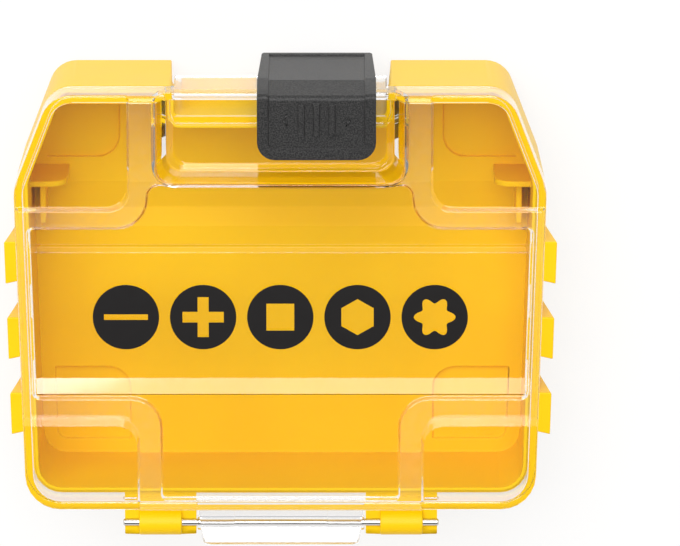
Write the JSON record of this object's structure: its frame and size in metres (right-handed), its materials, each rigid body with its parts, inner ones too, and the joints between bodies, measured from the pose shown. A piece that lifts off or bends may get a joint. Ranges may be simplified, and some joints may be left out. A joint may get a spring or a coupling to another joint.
{
  "type": "hinged bit case",
  "caption": "Pocket case for screwdriver bits: moulded tray, clear hinged lid, sliding latch on a rail, steel hinge pin and grip teeth on both sides.",
  "frame": {"origin": "middle of the case's box at its lowest plane, under the feet of the tray's back", "axes": "+Z out of the lid, +Y to the latch side, +X along the hinge, to the right as seen from the lid"},
  "size_m": [0.1238, 0.1082, 0.044],
  "materials": {
    "tray_plastic": "moulded, satin gloss",
    "clear_plastic": "clear moulded polycarbonate, glossy",
    "latch_plastic": "fine spark-eroded texture",
    "pin_steel": "bright drawn wire"
  },
  "bodies": {
    "tray": {"tray": "tray_plastic", "hinge_pin": "pin_steel"},
    "lid": {"lid": "clear_plastic"},
    "latch": {"latch": "latch_plastic"}
  },
  "joints": [
    {"name": "lid_hinge", "type": "hinge", "parent": "tray", "child": "lid", "pos_m": [0, -0.0491, 0.0325], "axis": [1, 0, 0], "range_deg": [0, 180]},
    {"name": "latch_slide", "type": "slide", "parent": "lid", "child": "latch", "axis": [1, 0, 0], "range_m": [-0.0178, 0.0014]}
  ]
}
